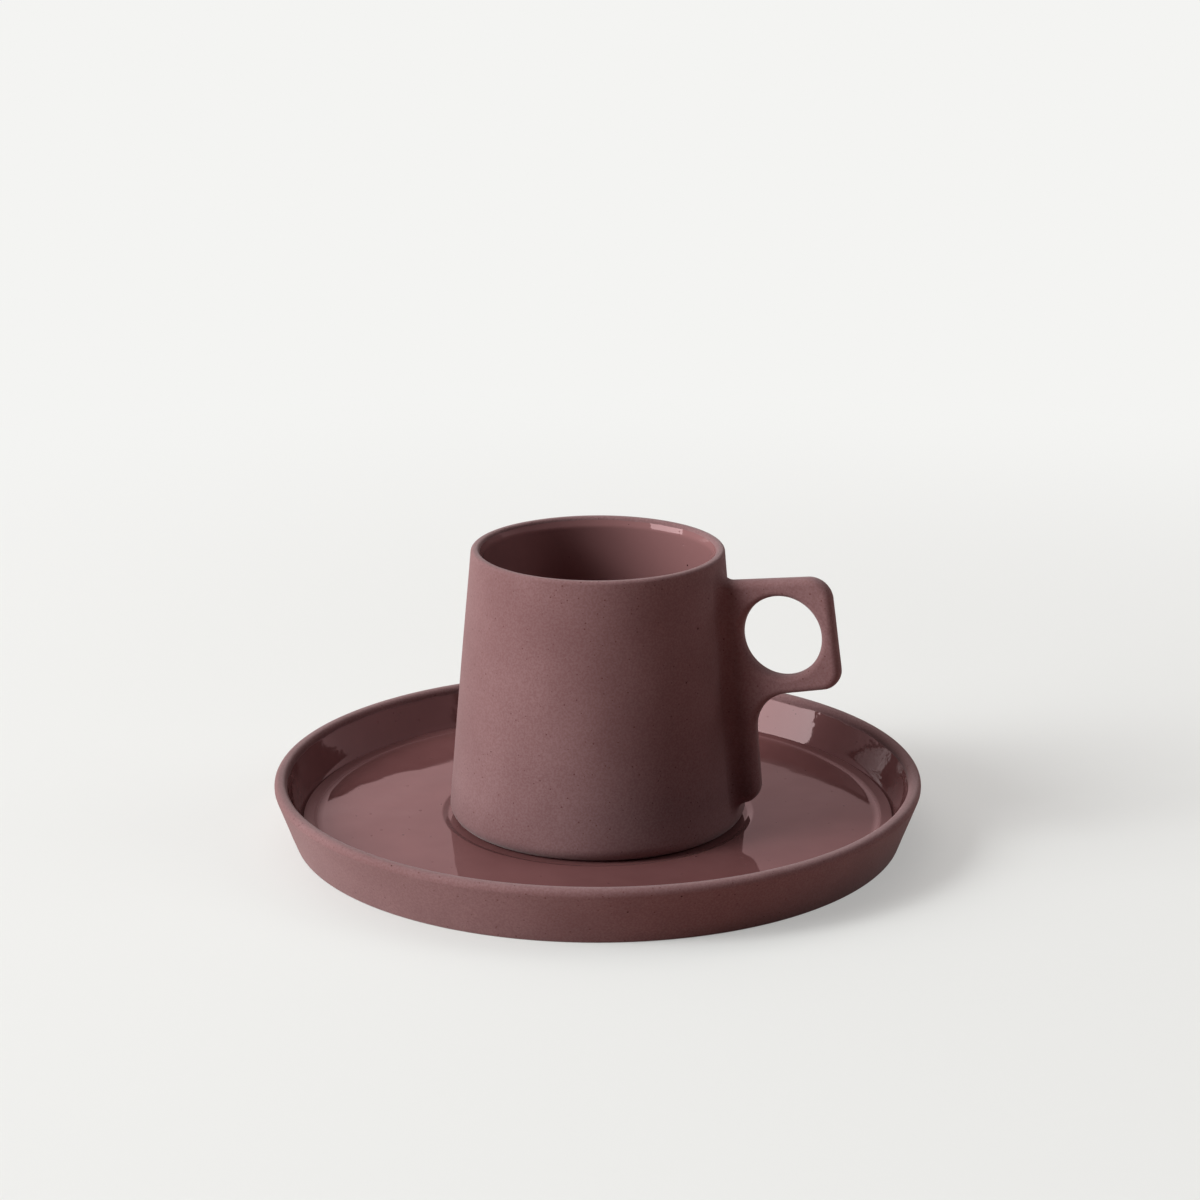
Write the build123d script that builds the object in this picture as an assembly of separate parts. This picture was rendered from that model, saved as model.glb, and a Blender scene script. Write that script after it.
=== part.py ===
from build123d import *
import os
from math import cos, pi, radians, sin, tan

# Coffee cup standing in the well of its saucer, both in stoneware, in millimetres.
# The origin is on the table, under the saucer's centre. +Z is up, and the handle points along +X.

# Cup sizes. Its heights are above its own foot, and its inside is measured to the glaze.
cup_height = 68.3
cup_rim_diameter = 61.8
cup_base_diameter = 74.0
cup_wall_thickness = 2.8
cup_floor_thickness = 3.6
cup_foot_edge_radius = 3.3
cup_foot_ring_width = 4.2
cup_recess_depth = 0.7
cup_recess_slope_width = 0.8
cup_lip_width = 1.9
cup_lip_radius = 0.9
cup_lip_taper_height = 2.4
cup_lip_taper_radius = 3.0
cup_inside_corner_radius = 7.0
cup_glaze_drop = 0.8

# Handle sizes. The loop is laid out round the finger hole, and the fin runs down the wall below it.
handle_thickness = 4.4
handle_edge_radius = 1.8
handle_root_radius = 3.3
handle_root_overlap = 4.0
finger_hole_diameter = 19.8
finger_hole_edge_radius = 1.6
finger_hole_drop = 17.3
loop_tilt = 8.0
loop_inner_margin = 5.05
loop_top_margin = 4.15
loop_outer_margin = 3.55
loop_bottom_margin = 4.4
loop_bottom_taper = 4.0
loop_top_corner_radius = 5.7
loop_bottom_corner_radius = 4.8
fin_depth = 6.65
fin_sweep_radius = 9.5
fin_end_height = 7.3
fin_end_radius = 5.2

# Saucer sizes. Heights are above the table, and the dish is measured to the glaze.
saucer_rim_diameter = 160.0
saucer_height = 14.8
saucer_rim_width = 3.1
saucer_rim_land = 1.7
saucer_rim_radius = 1.3
saucer_wall_blend_radius = 1.2
saucer_foot_diameter = 150.2
saucer_foot_edge_radius = 0.7
saucer_foot_ring_width = 7.0
saucer_recess_depth = 0.8
saucer_recess_slope_width = 1.2
saucer_wall_foot_width = 1.4
saucer_floor_height = 4.3
saucer_glaze_drop = 1.9

# A narrow raised ledge runs round the edge of the saucer's floor, and a gutter parts it from the wall.
ledge_width = 4.0
ledge_slope_width = 1.4
ledge_rise = 0.45
ledge_sweep_radius = 6.0
ledge_edge_radius = 0.4
gutter_width = 0.6
gutter_depth = 0.35

# A shallow well in the middle of the floor holds the cup's foot.
well_clearance = 1.7
well_depth = 0.4
well_slope_width = 1.4
well_edge_radius = 2.0

# The glaze coat has one thickness on the dish and in the cup.
glaze_thickness = 0.35

# Part of an edge that the roundings of its two ends may take up between them.
rounding_room_share = 0.96
# Parts of the loop's narrowest rim that the outer rounding and the hole's rounding may take up.
loop_rim_outer_share = 0.52
loop_rim_hole_share = 0.46
# Part of the handle's thickness that one edge's rounding may take up.
handle_thickness_share = 0.45
# Part of the clear wall round the loop's root that the root's rounding may take up.
root_room_share = 0.96

cup_foot_r = cup_base_diameter / 2
cup_rim_r = cup_rim_diameter / 2
cup_lean = (cup_foot_r - cup_rim_r) / cup_height
cup_glaze_line = cup_height - cup_glaze_drop
lip_inner_r = cup_rim_r - cup_lip_width
taper_foot_height = cup_height - cup_lip_taper_height

saucer_rim_r = saucer_rim_diameter / 2
saucer_foot_r = saucer_foot_diameter / 2
saucer_land_height = saucer_height - saucer_rim_land
saucer_glaze_line = saucer_height - saucer_glaze_drop
wall_foot_r = saucer_foot_r - saucer_wall_foot_width
ledge_crest_r = wall_foot_r - gutter_width
ledge_inner_r = ledge_crest_r - ledge_width
well_r = cup_foot_r + well_clearance
well_floor_height = saucer_floor_height - well_depth


def cup_wall_r(height):
    """Radius of the cup's outside at a height above its foot."""
    return cup_foot_r - cup_lean * height


def lip_taper_r(height):
    """Radius of the cup's inside at a height on the taper that thins the wall to the lip."""
    taper_foot_r = cup_wall_r(taper_foot_height) - cup_wall_thickness
    run = lip_inner_r - taper_foot_r
    return taper_foot_r + run * (height - taper_foot_height) / cup_lip_taper_height


def fin_r(height):
    """Distance of the fin's outer edge from the axis, at a height above the cup's foot."""
    return cup_wall_r(height) + fin_depth


def dish_wall_r(height):
    """Radius of the saucer's glazed wall at a height above the table."""
    run = saucer_rim_r - saucer_rim_width - wall_foot_r
    return wall_foot_r + run * (height - saucer_floor_height) / (saucer_land_height - saucer_floor_height)


finger_hole_r = finger_hole_diameter / 2
finger_hole_height = cup_height - finger_hole_drop
finger_hole_reach = cup_wall_r(finger_hole_height) + loop_inner_margin + finger_hole_r


def outline(corners):
    """Flat face from closed corners (x, y, rounding). A rounding shrinks where its edges are too short."""
    points = [Vector(x, y) for x, y, _ in corners]
    count = len(points)
    sides = [points[(i + 1) % count] - points[i] for i in range(count)]
    tangents = [
        corners[i][2] * tan(radians(sides[i - 1].get_angle(sides[i])) / 2)
        for i in range(count)
    ]
    room = [
        min(1, rounding_room_share * sides[i].length / max(tangents[i] + tangents[(i + 1) % count], 1e-9))
        for i in range(count)
    ]
    rounding = [corners[i][2] * min(room[i - 1], room[i]) for i in range(count)]
    return make_face(FilletPolyline(*points, radius=rounding, close=True))


def turned(corners):
    """Solid of revolution about Z from closed corners, each given as (radius, height, rounding)."""
    return revolve(Plane.XZ * outline(corners), Axis.Z)


def cup_inside(coat):
    """Corners of the cup's inside from the axis up to the glaze line, set back by a coat."""
    floor = cup_floor_thickness - coat
    setback = cup_wall_thickness - coat
    return [
        (0, floor, 0),
        (cup_wall_r(floor) - setback, floor, cup_inside_corner_radius + coat),
        (lip_taper_r(taper_foot_height) + coat, taper_foot_height, cup_lip_taper_radius),
        (lip_taper_r(cup_glaze_line) + coat, cup_glaze_line, 0),
    ]


def make_cup_body():
    ring_outer_r = cup_foot_r - cup_foot_edge_radius
    ring_inner_r = ring_outer_r - cup_foot_ring_width
    lip_and_foot = [
        (lip_taper_r(cup_glaze_line), cup_glaze_line, 0),
        (lip_inner_r, cup_height, cup_lip_radius),
        (cup_rim_r, cup_height, cup_lip_radius),
        (cup_foot_r, 0, cup_foot_edge_radius),
        (ring_inner_r, 0, 0),
        (ring_inner_r - cup_recess_slope_width, cup_recess_depth, 0),
        (0, cup_recess_depth, 0),
    ]
    return turned(cup_inside(glaze_thickness) + lip_and_foot)


def make_cup_glaze():
    return turned(cup_inside(0) + cup_inside(glaze_thickness)[::-1])


def make_cup_outside():
    """The cup's outer cone as one full solid, with its seam turned away from the handle."""
    cone = turned([(0, 0, 0), (cup_foot_r, 0, 0), (cup_rim_r, cup_height, 0), (0, cup_height, 0)])
    return Rot(0, 0, 180) * cone


def on_loop(out, up):
    """Point at a distance out and up from the finger hole's centre, along the tilted loop."""
    tilt = radians(loop_tilt)
    return (
        finger_hole_reach + out * cos(tilt) - up * sin(tilt),
        finger_hole_height + out * sin(tilt) + up * cos(tilt),
    )


def loop_meets_fin():
    """Corner where the loop's lower edge, drawn straight on, reaches the fin's outer edge."""
    start_reach, start_height = on_loop(0, -finger_hole_r - loop_bottom_margin)
    slope = tan(radians(loop_tilt + loop_bottom_taper))
    reach = (fin_r(start_height) + cup_lean * slope * start_reach) / (1 + cup_lean * slope)
    return reach, start_height + (reach - start_reach) * slope


def handle_outline():
    """The handle seen from its side: a tilted loop that sweeps into a fin down the wall."""
    to_top = finger_hole_r + loop_top_margin
    to_outer = finger_hole_r + loop_outer_margin
    to_bottom = finger_hole_r + loop_bottom_margin - to_outer * tan(radians(loop_bottom_taper))
    into_wall = finger_hole_r + loop_inner_margin + handle_root_overlap
    return outline([
        (*on_loop(-into_wall, to_top), 0),
        (*on_loop(to_outer, to_top), loop_top_corner_radius),
        (*on_loop(to_outer, -to_bottom), loop_bottom_corner_radius),
        (*loop_meets_fin(), fin_sweep_radius),
        (fin_r(fin_end_height), fin_end_height, fin_end_radius),
        (cup_wall_r(fin_end_height) - handle_root_overlap, fin_end_height, 0),
    ])


def make_handle():
    """Slab with soft edges, flared where it meets the cup and cut to the cup's outside."""
    narrowest = min(loop_inner_margin, loop_top_margin, loop_outer_margin, loop_bottom_margin)
    edge_limit = handle_thickness * handle_thickness_share
    edge_radius = min(handle_edge_radius, narrowest * loop_rim_outer_share, edge_limit)
    hole_edge_radius = min(finger_hole_edge_radius, narrowest * loop_rim_hole_share, edge_limit)

    slab = extrude(Plane.XZ * handle_outline(), amount=handle_thickness / 2, both=True)
    side_edges = slab.edges().group_by(Axis.Y)
    slab = fillet(side_edges[0] + side_edges[-1], edge_radius)

    hole_at = Plane.XZ * Pos(finger_hole_reach, finger_hole_height)
    slab -= hole_at * Cylinder(finger_hole_r, handle_thickness * 2)
    hole_edges = slab.edges().filter_by(lambda edge: edge.is_closed)
    slab = fillet(hole_edges, hole_edge_radius)

    cup_outside = make_cup_outside()
    joined = cup_outside + slab
    root_edges = new_edges(cup_outside, slab, combined=joined)
    wall_above = cup_height - on_loop(-finger_hole_r - loop_inner_margin, finger_hole_r + loop_top_margin)[1]
    root_room = root_room_share * min(loop_inner_margin - hole_edge_radius, wall_above, fin_end_height)
    return fillet(root_edges, min(handle_root_radius, root_room)) - cup_outside


def dish_floor(coat):
    """Corners of the saucer's floor from the axis to the wall's foot, set down by a coat."""
    floor = saucer_floor_height - coat
    return [
        (0, well_floor_height - coat, 0),
        (well_r - well_slope_width, well_floor_height - coat, well_edge_radius),
        (well_r, floor, well_edge_radius),
        (ledge_inner_r, floor, ledge_sweep_radius),
        (ledge_inner_r + ledge_slope_width, floor + ledge_rise, ledge_edge_radius),
        (ledge_crest_r, floor + ledge_rise, ledge_edge_radius),
        (wall_foot_r - gutter_width / 2, floor - gutter_depth, 0),
        (wall_foot_r + coat, floor, 0),
        (dish_wall_r(saucer_glaze_line) + coat, saucer_glaze_line, 0),
    ]


def make_saucer_body():
    ring_inner_r = saucer_foot_r - saucer_foot_ring_width
    rim_and_foot = [
        (dish_wall_r(saucer_glaze_line), saucer_glaze_line, 0),
        (saucer_rim_r - saucer_rim_width, saucer_land_height, 0),
        (saucer_rim_r - saucer_rim_width, saucer_height, saucer_rim_radius),
        (saucer_rim_r, saucer_height, saucer_rim_radius),
        (saucer_rim_r, saucer_land_height, saucer_wall_blend_radius),
        (saucer_foot_r, 0, saucer_foot_edge_radius),
        (ring_inner_r, 0, 0),
        (ring_inner_r - saucer_recess_slope_width, saucer_recess_depth, 0),
        (0, saucer_recess_depth, 0),
    ]
    return turned(dish_floor(glaze_thickness) + rim_and_foot)


def make_saucer_glaze():
    return turned(dish_floor(0) + dish_floor(glaze_thickness)[::-1])


on_saucer = Pos(0, 0, well_floor_height)
nodes = {
    "saucer_body": make_saucer_body(),
    "saucer_glaze": make_saucer_glaze(),
    "cup_body": on_saucer * make_cup_body(),
    "cup_glaze": on_saucer * make_cup_glaze(),
    "cup_handle": on_saucer * make_handle(),
}

os.makedirs("parts", exist_ok=True)
for name, solid in nodes.items():
    export_step(solid, f"parts/{name}.step")

inner_top_r = cup_rim_r - cup_wall_thickness
inner_base_r = cup_wall_r(cup_floor_thickness) - cup_wall_thickness
depth = cup_height - cup_floor_thickness
brimful = pi * depth * (inner_top_r**2 + inner_top_r * inner_base_r + inner_base_r**2) / 3
print(f"cup filled to the brim, before its inside corner: {brimful / 1000:.0f} ml")
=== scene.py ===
import math

import bmesh
import bpy
from mathutils import Matrix, Vector, noise


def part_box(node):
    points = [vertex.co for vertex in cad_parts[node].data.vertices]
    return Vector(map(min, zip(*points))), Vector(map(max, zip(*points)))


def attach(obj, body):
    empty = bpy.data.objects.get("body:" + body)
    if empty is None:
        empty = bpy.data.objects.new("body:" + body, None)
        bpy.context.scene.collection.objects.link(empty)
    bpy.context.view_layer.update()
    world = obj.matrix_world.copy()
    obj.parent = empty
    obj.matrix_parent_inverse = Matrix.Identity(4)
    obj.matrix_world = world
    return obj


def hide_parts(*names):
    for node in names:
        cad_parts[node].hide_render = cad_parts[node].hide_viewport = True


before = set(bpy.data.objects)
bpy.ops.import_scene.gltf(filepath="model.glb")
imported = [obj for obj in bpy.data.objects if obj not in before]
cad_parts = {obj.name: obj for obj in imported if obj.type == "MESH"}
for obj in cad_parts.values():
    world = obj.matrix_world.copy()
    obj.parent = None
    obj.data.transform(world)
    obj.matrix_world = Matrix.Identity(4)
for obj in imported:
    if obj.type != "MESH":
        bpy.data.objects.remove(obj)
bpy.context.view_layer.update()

# Stoneware coffee cup in the well of its saucer, matt outside, with a gloss glaze in the dish and in the cup.
# Lengths are in metres. The pieces take their places from the frame, whose handle points along +X.
MM = 0.001

saucer_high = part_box("saucer_body")[1]
dish_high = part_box("saucer_glaze")[1]
cup_low, cup_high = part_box("cup_body")
lining_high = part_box("cup_glaze")[1]

# Saucer, from its rim down to the table.
saucer_rim_r = saucer_high.x
saucer_height = saucer_high.z
saucer_glaze_line = dish_high.z
saucer_rim_width = 3.1 * MM
saucer_rim_land = 1.7 * MM
saucer_rim_radius = 1.3 * MM
saucer_wall_blend_radius = 1.2 * MM
saucer_foot_r = 75.1 * MM
saucer_foot_edge_radius = 0.7 * MM
saucer_foot_ring_width = 7.0 * MM
saucer_recess_depth = 0.8 * MM
saucer_recess_slope_width = 1.2 * MM
saucer_floor_height = 4.3 * MM

# Ledge and gutter at the edge of the dish's floor, and the well round the cup's foot.
saucer_wall_foot_width = 1.4 * MM
gutter_width = 0.6 * MM
gutter_depth = 0.35 * MM
ledge_width = 4.0 * MM
ledge_slope_width = 1.4 * MM
ledge_rise = 0.45 * MM
ledge_sweep_radius = 6.0 * MM
ledge_edge_radius = 0.4 * MM
wall_foot_r = saucer_foot_r - saucer_wall_foot_width
ledge_crest_r = wall_foot_r - gutter_width
ledge_inner_r = ledge_crest_r - ledge_width
well_floor_height = cup_low.z
well_clearance = 1.7 * MM
well_slope_width = 1.4 * MM
well_edge_radius = 2.0 * MM

# Cup, standing on the well's floor.
cup_rim_height = cup_high.z
cup_glaze_line = lining_high.z
cup_foot_r = 37.0 * MM
cup_rim_r = 30.9 * MM
cup_wall_thickness = 2.8 * MM
cup_floor_thickness = 3.6 * MM
cup_foot_edge_radius = 3.3 * MM
cup_foot_ring_width = 4.2 * MM
cup_recess_depth = 0.7 * MM
cup_recess_slope_width = 0.8 * MM
cup_lip_width = 1.9 * MM
cup_lip_radius = 0.9 * MM
lip_taper_height = 2.4 * MM
lip_taper_radius = 3.0 * MM
cup_inside_corner_radius = 7.0 * MM
well_r = cup_foot_r + well_clearance

glaze_thickness = 0.35 * MM

# How far hand work leaves the pieces out of true.
wave_seed = 1
dish_wave_length = 26 * MM
dish_wave_height = 0.12 * MM
dish_ripple_length = 7 * MM
dish_ripple_share = 0.4
dish_wall_calm_share = 0.6
dish_wave_start = 1 * MM
dish_wave_full = 8 * MM
dish_foot_keep_height = 1 * MM
dish_wall_rise = 2 * MM
cup_wave_length = 30 * MM
cup_wave_height = 0.1 * MM
cup_wave_start = 2 * MM
cup_wave_full = 20 * MM
handle_keep_angle = math.radians(20)
handle_clear_angle = math.radians(50)
glaze_line_reach = 6 * MM
glaze_line_band = 2 * MM
dish_line_wander = 0.3 * MM
dish_line_drift = 1.3
lip_line_wander = 0.15 * MM
lip_line_drift = 4.1

# Fineness of the turned meshes.
face_length = 2 * MM
eighth_steps = 36
arc_steps = 8
weld_distance = 0.001 * MM
sharp_angle = math.radians(40)

# The photograph is square. The camera stands in front of the handle's side, turned from the part's own front.
view_turn = math.radians(20.5)
camera_pitch = math.radians(16.375)
camera_place = Vector((246.9, -658.8, 265.5)) * MM
camera_lens = 90
camera_sensor = 36
camera_reach = 30


def turned_to_photo(right, away, up):
    """Point or direction in the part's frame, from the photograph's right, away and up."""
    return Matrix.Rotation(view_turn, 3, "Z") @ Vector((right, away, up))


# Mesh helpers.
def rounded(corners):
    """Points of a closed outline whose corners are (radius, height, rounding)."""
    points = []
    count = len(corners)
    for i, (r, z, rounding) in enumerate(corners):
        corner = Vector((r, z))
        if not rounding:
            points.append(corner)
            continue
        before = (Vector(corners[i - 1][:2]) - corner).normalized()
        after = (Vector(corners[(i + 1) % count][:2]) - corner).normalized()
        half = before.angle(after) / 2
        centre = corner + (before + after).normalized() * (rounding / math.sin(half))
        start = corner + before * (rounding / math.tan(half)) - centre
        swing = -start.angle_signed(after * (rounding / math.tan(half)) + corner - centre)
        for step in range(arc_steps + 1):
            points.append(centre + Matrix.Rotation(swing * step / arc_steps, 2) @ start)
    return points


def turned_piece(name, corners, uneven):
    """Piece thrown on the wheel: a closed outline spun about Z, then pushed a little out of true by hand.

    An eighth of the turn is spun, and doubled three times.
    """
    mesh = bmesh.new()
    ring = [mesh.verts.new((point.x, 0, point.y)) for point in rounded(corners)]
    for a, b in zip(ring, ring[1:] + ring[:1]):
        if a.co.x or b.co.x:
            mesh.edges.new((a, b))
    for edge in list(mesh.edges):
        cuts = math.ceil(edge.calc_length() / face_length) - 1
        if cuts > 0:
            bmesh.ops.subdivide_edges(mesh, edges=[edge], cuts=cuts)
    turn = math.pi / 4
    bmesh.ops.spin(mesh, geom=mesh.verts[:] + mesh.edges[:], axis=(0, 0, 1), cent=(0, 0, 0), angle=turn,
                   steps=eighth_steps)
    for _ in range(3):
        copy = bmesh.ops.duplicate(mesh, geom=mesh.verts[:] + mesh.edges[:] + mesh.faces[:])["geom"]
        points = [item for item in copy if isinstance(item, bmesh.types.BMVert)]
        bmesh.ops.rotate(mesh, verts=points, cent=(0, 0, 0), matrix=Matrix.Rotation(turn, 3, "Z"))
        bmesh.ops.remove_doubles(mesh, verts=mesh.verts, dist=weld_distance)
        turn *= 2
    bmesh.ops.recalc_face_normals(mesh, faces=mesh.faces)
    for point in mesh.verts:
        point.co += uneven(point.co)
    return finished(name, mesh)


def finished(name, mesh):
    """Object made of a bmesh, smooth where its faces meet softly."""
    data = bpy.data.meshes.new(name)
    mesh.to_mesh(data)
    mesh.free()
    data.shade_smooth()
    data.set_sharp_from_angle(angle=sharp_angle)
    piece = bpy.data.objects.new(name, data)
    bpy.context.scene.collection.objects.link(piece)
    return piece


# Material helpers.
def linear(code):
    """Linear colour of an sRGB hex code."""
    channels = [int(code[i:i + 2], 16) / 255 for i in (1, 3, 5)]
    return (*((c / 12.92 if c <= 0.04045 else ((c + 0.055) / 1.055) ** 2.4) for c in channels), 1)


def add(tree, kind, inputs, **settings):
    """New node with its settings, and its inputs set to a value or joined to another node's output."""
    node = tree.nodes.new(kind)
    for key, value in settings.items():
        setattr(node, key, value)
    for socket, value in inputs.items():
        if isinstance(value, bpy.types.NodeSocket):
            tree.links.new(value, node.inputs[socket])
        else:
            node.inputs[socket].default_value = value
    return node


def new_material(name):
    material = bpy.data.materials.new(name)
    material.use_nodes = True
    material.node_tree.nodes.clear()
    return material, material.node_tree


def eased(tree, value, start, end, low=0.0, high=1.0):
    """Value mapped softly from the span start to end onto low to high."""
    return add(tree, "ShaderNodeMapRange", {
        "Value": value, "From Min": start, "From Max": end, "To Min": low, "To Max": high,
    }, interpolation_type="SMOOTHSTEP").outputs[0]


def along(tree, place, direction):
    """How far a place or ray lies along a direction."""
    dot = add(tree, "ShaderNodeVectorMath", {0: place, 1: direction}, operation="DOT_PRODUCT")
    return dot.outputs["Value"]


def patches(tree, place, size, detail=2.0):
    """Cloudy noise whose patches are of the given size, in metres."""
    return add(tree, "ShaderNodeTexNoise", {
        "Vector": place, "Scale": 1 / size, "Detail": detail, "Roughness": 0.55}).outputs["Fac"]


def specks(tree, place, spacing, radius):
    """1 inside small round specks scattered through the clay, and 0 outside them. None is over the radius."""
    cells = add(tree, "ShaderNodeTexVoronoi", {"Vector": place, "Scale": 1 / spacing}).outputs
    size = add(tree, "ShaderNodeSeparateColor", {0: cells["Color"]}).outputs[0]
    largest = radius / spacing
    reach = add(tree, "ShaderNodeMath", {0: size, 1: largest}, operation="MULTIPLY").outputs[0]
    inside = add(tree, "ShaderNodeMath", {0: reach, 1: cells["Distance"]}, operation="SUBTRACT").outputs[0]
    return eased(tree, inside, -0.15 * largest, 0.25 * largest)


def mixed(tree, share, first, second):
    """First colour where the share is 0, and second where it is 1."""
    return add(tree, "ShaderNodeMix", {0: share, 6: first, 7: second}, data_type="RGBA").outputs[2]


# Materials.
def bare_stoneware():
    """Plum stoneware fired bare and sanded: dead matt, fine grained, with faint pores and a few iron specks.

    The grain is drawn at half a millimetre, coarser than the clay's own, so that it shows at all.
    """
    cloud_size = 22 * MM
    grain_size = 0.5 * MM
    grain_depth = 0.04 * MM
    pore_spacing, pore_radius = 1.4 * MM, 0.24 * MM
    iron_spacing, iron_radius = 5 * MM, 0.3 * MM
    material, tree = new_material("bare_stoneware")
    place = add(tree, "ShaderNodeTexCoord", {}).outputs["Object"]
    cloud = eased(tree, patches(tree, place, cloud_size), 0.3, 0.7)
    grain = patches(tree, place, grain_size, 3.0)
    body = mixed(tree, cloud, linear("#7e6061"), linear("#87696a"))
    body = mixed(tree, eased(tree, grain, 0.35, 0.65, 0.0, 0.3), body, linear("#633836"))
    body = mixed(tree, specks(tree, place, pore_spacing, pore_radius), body, linear("#654342"))
    colour = mixed(tree, specks(tree, place, iron_spacing, iron_radius), body, linear("#43201d"))
    tooth = add(tree, "ShaderNodeBump", {"Strength": 0.35, "Distance": grain_depth, "Height": grain})
    shader = add(tree, "ShaderNodeBsdfPrincipled", {
        "Base Color": colour, "Roughness": 0.8, "IOR": 1.5, "Specular IOR Level": 0.1,
        "Specular Tint": linear("#ffe6e6"), "Sheen Weight": 0.2, "Sheen Roughness": 0.5,
        "Normal": tooth.outputs[0]})
    add(tree, "ShaderNodeOutputMaterial", {"Surface": shader.outputs[0]})
    return material


def gloss_glaze():
    """Clear glaze fired over the same clay: wet looking, faintly rippled, with pinholes and specks below it.

    It pools smooth on the saucer's floor and ripples on the walls. It runs thin on the raised ledge of the
    saucer, and dries satin there. Higher up in the cup its colour is painted paler: painted light that stands
    in for the light falling inside the cup.
    """
    cloud_size = 14 * MM
    ripple_size, ripple_depth = 2.2 * MM, 0.03 * MM
    pool_height, wall_height = 5 * MM, 8 * MM
    iron_spacing, iron_radius = 3.8 * MM, 0.3 * MM
    pinhole_spacing, pinhole_radius, pinhole_depth = 3.4 * MM, 0.35 * MM, 0.05 * MM
    gutter_start, gutter_end = ledge_crest_r - 0.2 * MM, ledge_crest_r + 0.1 * MM
    material, tree = new_material("gloss_glaze")
    place = add(tree, "ShaderNodeTexCoord", {}).outputs["Object"]
    cloud = eased(tree, patches(tree, place, cloud_size), 0.3, 0.7)
    height = add(tree, "ShaderNodeSeparateXYZ", {0: place}).outputs["Z"]
    body = mixed(tree, cloud, linear("#6c4747"), linear("#724c4c"))
    # Painted light: the glaze is painted paler higher up in the cup, for the light that falls inside it.
    body = mixed(tree, eased(tree, height, saucer_height, 2 * saucer_height), body, linear("#8a6363"))
    colour = mixed(tree, specks(tree, place, iron_spacing, iron_radius), body, linear("#35191a"))
    unrest = eased(tree, height, pool_height, wall_height, 0.12, 1.0)
    ripple = add(tree, "ShaderNodeBump", {
        "Strength": unrest, "Distance": ripple_depth, "Height": patches(tree, place, ripple_size, 1.0)})
    flat = add(tree, "ShaderNodeVectorMath", {0: place, 1: (1, 1, 0)}, operation="MULTIPLY").outputs[0]
    radius = add(tree, "ShaderNodeVectorMath", {0: flat}, operation="LENGTH").outputs["Value"]
    thin = eased(tree, radius, ledge_inner_r, ledge_inner_r + ledge_slope_width, 0.05, 0.38)
    gloss = eased(tree, radius, gutter_start, gutter_end, 1.0, 0.13)
    roughness = add(tree, "ShaderNodeMath", {0: thin, 1: gloss}, operation="MULTIPLY").outputs[0]
    pinholes = specks(tree, place, pinhole_spacing, pinhole_radius)
    dimpled = add(tree, "ShaderNodeBump", {
        "Strength": 1.0, "Distance": pinhole_depth, "Height": pinholes, "Normal": ripple.outputs[0],
    }, invert=True)
    shader = add(tree, "ShaderNodeBsdfPrincipled", {
        "Base Color": colour, "Roughness": roughness, "IOR": 1.5, "Specular Tint": linear("#ffdcde"),
        "Normal": dimpled.outputs[0]})
    add(tree, "ShaderNodeOutputMaterial", {"Surface": shader.outputs[0]})
    return material


# Hand work.
def ramp(value, start, end):
    """0 at the start, 1 at the end and soft in between."""
    t = min(max((value - start) / (end - start), 0), 1)
    return t * t * (3 - 2 * t)


def wander(point, drift):
    """How far a glaze line wanders up or down at the point's angle. Each drift gives another line."""
    angle = math.atan2(point.y, point.x)
    place = Vector((math.cos(angle), math.sin(angle), drift)) * (point.xy.length / glaze_line_reach)
    return noise.noise(place) + 0.5 * noise.noise(place * 2.7) + 0.5 * noise.noise(place * 5.3)


# Saucer.
def saucer_uneven(point):
    """Slow waves and ripples in the dish's floor, a calmer wall, and a wandering glaze line under the rim."""
    r = point.xy.length
    out_of_well = ramp(r, well_r + dish_wave_start, well_r + dish_wave_full)
    above_foot = ramp(point.z, dish_foot_keep_height, saucer_floor_height - glaze_thickness)
    wall = ramp(point.z, saucer_floor_height + ledge_rise, saucer_floor_height + dish_wall_rise)
    waves = noise.noise_vector(point / dish_wave_length) * (1 - dish_wall_calm_share * wall)
    waves += dish_ripple_share * noise.noise_vector(point / dish_ripple_length) * (1 - wall)
    shift = waves * dish_wave_height * out_of_well * above_foot
    line = ramp(point.z, saucer_glaze_line - glaze_line_band, saucer_glaze_line)
    line *= 1 - ramp(point.z, saucer_glaze_line, saucer_height)
    line *= 1 - ramp(r, saucer_rim_r - saucer_rim_width, saucer_rim_r - saucer_rim_width / 2)
    shift.z += wander(point, dish_line_drift) * dish_line_wander * line
    return shift


def dish_wall_r(height):
    """Radius of the dish's wall at a height above the table."""
    run = saucer_rim_r - saucer_rim_width - wall_foot_r
    land = saucer_height - saucer_rim_land
    return wall_foot_r + run * (height - saucer_floor_height) / (land - saucer_floor_height)


def dish_floor(coat):
    """Corners of the dish from the middle to the glaze line, set down by a coat."""
    floor = saucer_floor_height - coat
    return [
        (0, well_floor_height - coat, 0),
        (well_r - well_slope_width, well_floor_height - coat, well_edge_radius),
        (well_r, floor, well_edge_radius),
        (ledge_inner_r, floor, ledge_sweep_radius),
        (ledge_inner_r + ledge_slope_width, floor + ledge_rise, ledge_edge_radius),
        (ledge_crest_r, floor + ledge_rise, ledge_edge_radius),
        (wall_foot_r - gutter_width / 2, floor - gutter_depth, 0),
        (wall_foot_r + coat, floor, 0),
        (dish_wall_r(saucer_glaze_line) + coat, saucer_glaze_line, 0),
    ]


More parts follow.
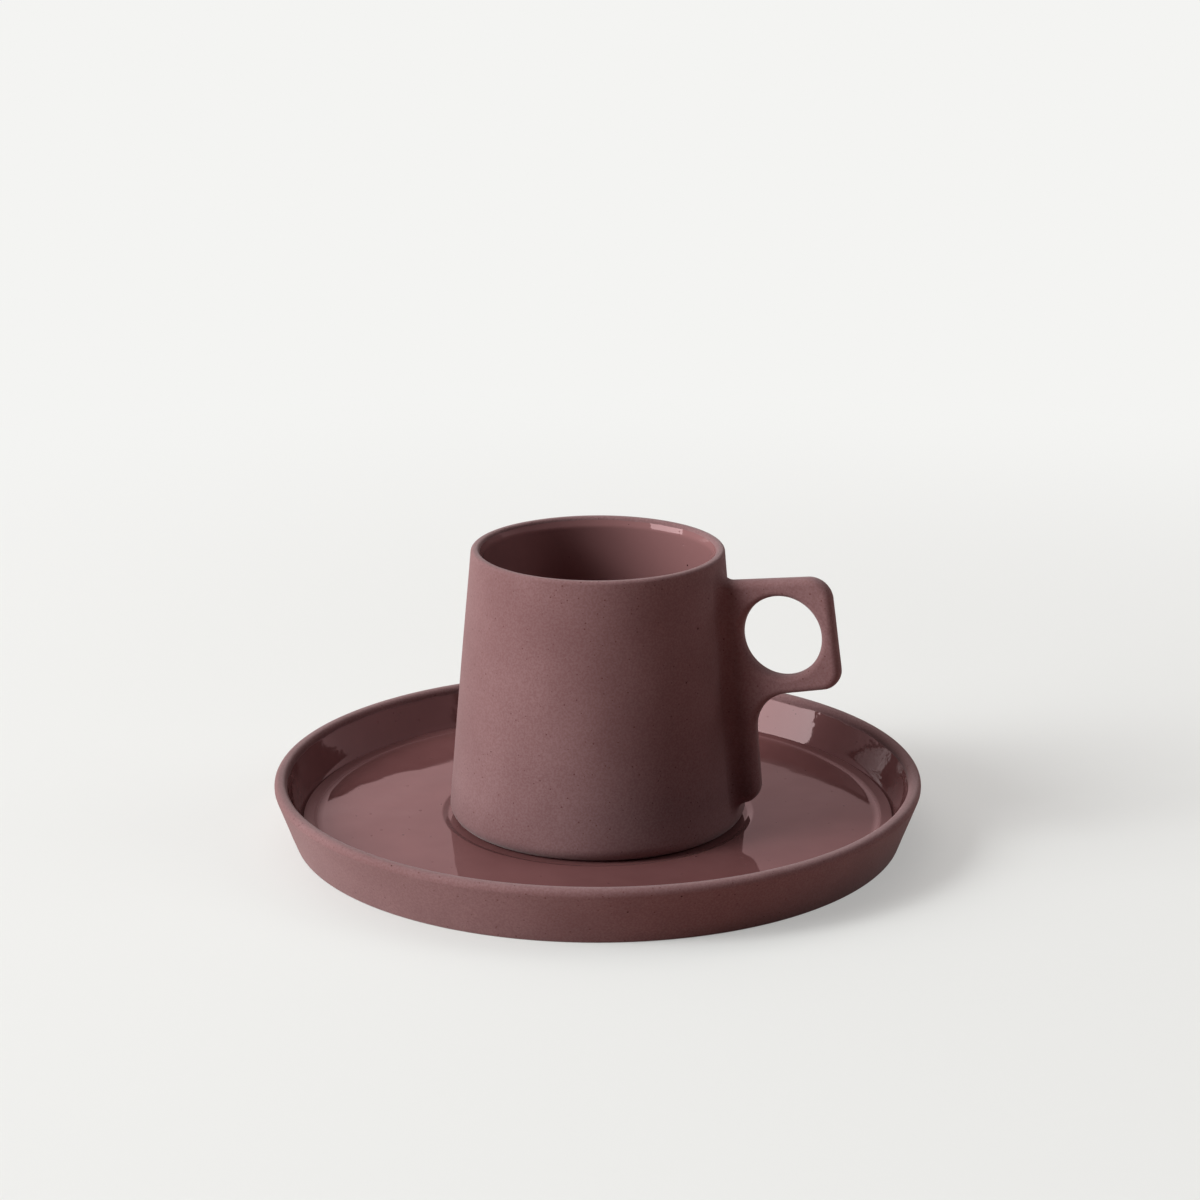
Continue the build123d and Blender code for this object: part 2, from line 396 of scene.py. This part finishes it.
def make_saucer():
    land = saucer_height - saucer_rim_land
    ring_inner_r = saucer_foot_r - saucer_foot_ring_width
    body = turned_piece("saucer_stoneware", dish_floor(glaze_thickness) + [
        (dish_wall_r(saucer_glaze_line), saucer_glaze_line, 0),
        (saucer_rim_r - saucer_rim_width, land, 0),
        (saucer_rim_r - saucer_rim_width, saucer_height, saucer_rim_radius),
        (saucer_rim_r, saucer_height, saucer_rim_radius),
        (saucer_rim_r, land, saucer_wall_blend_radius),
        (saucer_foot_r, 0, saucer_foot_edge_radius),
        (ring_inner_r, 0, 0),
        (ring_inner_r - saucer_recess_slope_width, saucer_recess_depth, 0),
        (0, saucer_recess_depth, 0),
    ], saucer_uneven)
    coat = turned_piece("saucer_gloss", dish_floor(0) + dish_floor(glaze_thickness)[::-1], saucer_uneven)
    return body, coat


# Cup.
def cup_wall_r(height):
    """Radius of the cup's outside at a height above the table."""
    lean = (cup_foot_r - cup_rim_r) / (cup_rim_height - cup_low.z)
    return cup_foot_r - lean * (height - cup_low.z)


def cup_uneven(point):
    """A wall a hair out of round away from the handle, and a wandering glaze line under the lip."""
    r = point.xy.length
    above_foot = ramp(point.z, cup_low.z + cup_wave_start, cup_low.z + cup_wave_full)
    off_handle = ramp(abs(math.atan2(point.y, point.x)), handle_keep_angle, handle_clear_angle)
    shift = noise.noise_vector(point / cup_wave_length) * cup_wave_height * above_foot * off_handle
    line = ramp(point.z, cup_glaze_line - glaze_line_band, cup_glaze_line)
    line *= 1 - ramp(point.z, cup_glaze_line, cup_rim_height)
    line *= 1 - ramp(r, cup_rim_r - cup_lip_width, cup_rim_r - cup_lip_width / 2)
    shift.z += wander(point, lip_line_drift) * lip_line_wander * line
    return shift


def cup_inside(coat):
    """Corners of the cup's inside from the middle up to the glaze line, set back by a coat."""
    floor = cup_low.z + cup_floor_thickness - coat
    taper_foot = cup_rim_height - lip_taper_height
    return [
        (0, floor, 0),
        (cup_wall_r(floor) - cup_wall_thickness + coat, floor, cup_inside_corner_radius + coat),
        (cup_wall_r(taper_foot) - cup_wall_thickness + coat, taper_foot, lip_taper_radius),
        (lip_taper_r(cup_glaze_line) + coat, cup_glaze_line, 0),
    ]


def lip_taper_r(height):
    """Radius of the cup's inside at a height on the taper that thins the wall to the lip."""
    taper_foot = cup_rim_height - lip_taper_height
    foot_r = cup_wall_r(taper_foot) - cup_wall_thickness
    return foot_r + (cup_rim_r - cup_lip_width - foot_r) * (height - taper_foot) / lip_taper_height


def make_cup():
    ring_outer_r = cup_foot_r - cup_foot_edge_radius
    ring_inner_r = ring_outer_r - cup_foot_ring_width
    body = turned_piece("cup_stoneware", cup_inside(glaze_thickness) + [
        (lip_taper_r(cup_glaze_line), cup_glaze_line, 0),
        (cup_rim_r - cup_lip_width, cup_rim_height, cup_lip_radius),
        (cup_rim_r, cup_rim_height, cup_lip_radius),
        (cup_foot_r, cup_low.z, cup_foot_edge_radius),
        (ring_inner_r, cup_low.z, 0),
        (ring_inner_r - cup_recess_slope_width, cup_low.z + cup_recess_depth, 0),
        (0, cup_low.z + cup_recess_depth, 0),
    ], cup_uneven)
    lining = turned_piece("cup_gloss", cup_inside(0) + cup_inside(glaze_thickness)[::-1], cup_uneven)
    return body, lining


# The room: a pale floor, a wide window on the left, two weaker lamps, and pale surroundings.
def seen_by_eye(tree):
    """1 for the rays that show the background: the camera's own, mirrored ones and those through glass."""
    ray = add(tree, "ShaderNodeLightPath", {}).outputs
    seen = ray["Is Camera Ray"]
    for other in (ray["Is Glossy Ray"], ray["Is Transmission Ray"]):
        seen = add(tree, "ShaderNodeMath", {0: seen, 1: other}, operation="MAXIMUM").outputs[0]
    return seen


def make_floor():
    """Paper floor that catches the shadow, and glows more and more as it runs off into the distance.

    Its glow is painted light. It fades from the back left to the front right, and a share of it lies under
    the pieces too, where it lightens their shadow. The light that it throws back on the pieces is dimmer and
    warmer than the floor looks.
    """
    floor_r = 6
    glow_start, glow_end = 0.15, 0.5
    dusk, daylight = -0.3, 0.35
    mesh = bmesh.new()
    bmesh.ops.create_circle(mesh, cap_ends=True, segments=96, radius=floor_r)
    floor = finished("floor", mesh)
    material, tree = new_material("pale_floor")
    place = add(tree, "ShaderNodeTexCoord", {}).outputs["Object"]
    eye = seen_by_eye(tree)
    paper = add(tree, "ShaderNodeBsdfPrincipled", {
        "Base Color": mixed(tree, eye, linear("#b69088"), linear("#eaedeb")), "Roughness": 0.9, "IOR": 1.5,
        "Specular IOR Level": 0.1})
    day = eased(tree, along(tree, place, turned_to_photo(-0.75, 1, 0)), dusk, daylight)
    tone = mixed(tree, day, linear("#eaeae8"), linear("#f4f4f2"))
    glow = add(tree, "ShaderNodeEmission", {"Color": tone})
    distance = add(tree, "ShaderNodeVectorMath", {0: place}, operation="LENGTH").outputs["Value"]
    # Painted light: even under the pieces, 0.4 of what the eye sees of the floor is glow, which lightens
    # their shadow.
    beyond = eased(tree, distance, glow_start, glow_end, 0.4)
    share = add(tree, "ShaderNodeMath", {0: beyond, 1: eye}, operation="MULTIPLY")
    mix = add(tree, "ShaderNodeMixShader", {0: share.outputs[0], 1: paper.outputs[0], 2: glow.outputs[0]})
    add(tree, "ShaderNodeOutputMaterial", {"Surface": mix.outputs[0]})
    floor.data.materials.append(material)


def make_lamp(name, azimuth, height, distance, size, power, mirrored=True):
    """Soft rectangular lamp aimed at the part.

    Its azimuth runs from the photograph's left, over the camera's side, to the right. Azimuth and height are
    in degrees.
    """
    light = bpy.data.lights.new(name, "AREA")
    light.shape = "RECTANGLE"
    light.size, light.size_y = size
    light.energy = power
    lamp = bpy.data.objects.new(name, light)
    bpy.context.scene.collection.objects.link(lamp)
    azimuth, height = math.radians(azimuth), math.radians(height)
    toward = turned_to_photo(-math.cos(azimuth) * math.cos(height), -math.sin(azimuth) * math.cos(height),
                             math.sin(height))
    lamp.location = toward * distance
    lamp.rotation_mode = "QUATERNION"
    lamp.rotation_quaternion = toward.to_track_quat("Z", "Y")
    lamp.visible_camera = False
    lamp.visible_glossy = mirrored


def make_surround():
    """Light from above for matt surfaces, a pale sky, and a warmer backdrop that gloss mirrors.

    The mirrored backdrop is brightest behind on the left, where the window lights it.
    """
    world = bpy.data.worlds.new("surround")
    bpy.context.scene.world = world
    world.use_nodes = True
    tree = world.node_tree
    tree.nodes.clear()
    ray = add(tree, "ShaderNodeTexCoord", {}).outputs["Generated"]
    overhead = along(tree, ray, turned_to_photo(-0.3, 0.5, 0.8).normalized())
    overhead = add(tree, "ShaderNodeMath", {0: overhead, 1: 0.0}, operation="MAXIMUM").outputs[0]
    overhead = add(tree, "ShaderNodeMath", {0: overhead, 1: 4.0}, operation="POWER").outputs[0]
    level = add(tree, "ShaderNodeMath", {0: overhead, 1: 1.3, 2: 0.02}, operation="MULTIPLY_ADD").outputs[0]
    fill = add(tree, "ShaderNodeBackground", {"Color": linear("#fff4f1"), "Strength": level})
    across = along(tree, ray, turned_to_photo(1, 0, 0))
    side = eased(tree, across, -0.15, 0.15, 0.65, 0.1)
    behind = eased(tree, along(tree, ray, turned_to_photo(0, 1, 0)), 0.3, 0.8)
    wall = eased(tree, across, 0.4, 0.9, 0.36, 0.7)
    pale = add(tree, "ShaderNodeMath", {0: side, 1: behind, 2: wall}, operation="MULTIPLY_ADD").outputs[0]
    mirrored = add(tree, "ShaderNodeBackground", {"Color": linear("#ffd6d8"), "Strength": pale})
    sky = add(tree, "ShaderNodeBackground", {"Color": linear("#f1f1ef"), "Strength": 1.0})
    gloss = add(tree, "ShaderNodeLightPath", {}).outputs["Is Glossy Ray"]
    shown = add(tree, "ShaderNodeMixShader", {0: gloss, 1: sky.outputs[0], 2: mirrored.outputs[0]})
    mix = add(tree, "ShaderNodeMixShader", {0: seen_by_eye(tree), 1: fill.outputs[0], 2: shown.outputs[0]})
    add(tree, "ShaderNodeOutputWorld", {"Surface": mix.outputs[0]})


def make_camera():
    camera = bpy.data.cameras.new("camera")
    camera.lens = camera_lens
    camera.sensor_width = camera_sensor
    camera.clip_end = camera_reach
    eye = bpy.data.objects.new("camera", camera)
    bpy.context.scene.collection.objects.link(eye)
    eye.location = camera_place
    eye.rotation_euler = (math.pi / 2 - camera_pitch, 0, view_turn)
    bpy.context.scene.camera = eye


stoneware = bare_stoneware()
glaze = gloss_glaze()

# Without a seed, the waves would start from the clock and differ from run to run.
noise.seed_set(wave_seed)
saucer, dish = make_saucer()
cup, lining = make_cup()
for piece, body, node, material, slot in (
    (saucer, "saucer", "saucer_body", stoneware, "stoneware"),
    (dish, "saucer", "saucer_glaze", glaze, "gloss_glaze"),
    (cup, "cup", "cup_body", stoneware, "stoneware"),
    (lining, "cup", "cup_glaze", glaze, "gloss_glaze"),
):
    piece.data.materials.append(material)
    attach(piece, body)
    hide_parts(node)

# The handle keeps its own solid, in the same stoneware.
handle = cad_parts["cup_handle"]
handle.data.materials.clear()
handle.data.materials.append(stoneware)

make_floor()
make_lamp("window", azimuth=17, height=22, distance=4, size=(2.8, 3.2), power=163)
make_lamp("front_lamp", azimuth=20, height=33, distance=3, size=(0.7, 1.2), power=42, mirrored=False)
make_lamp("side_fill", azimuth=180, height=35, distance=3, size=(1.5, 1.5), power=14, mirrored=False)
make_surround()
make_camera()
bpy.context.scene.view_settings.view_transform = "Standard"
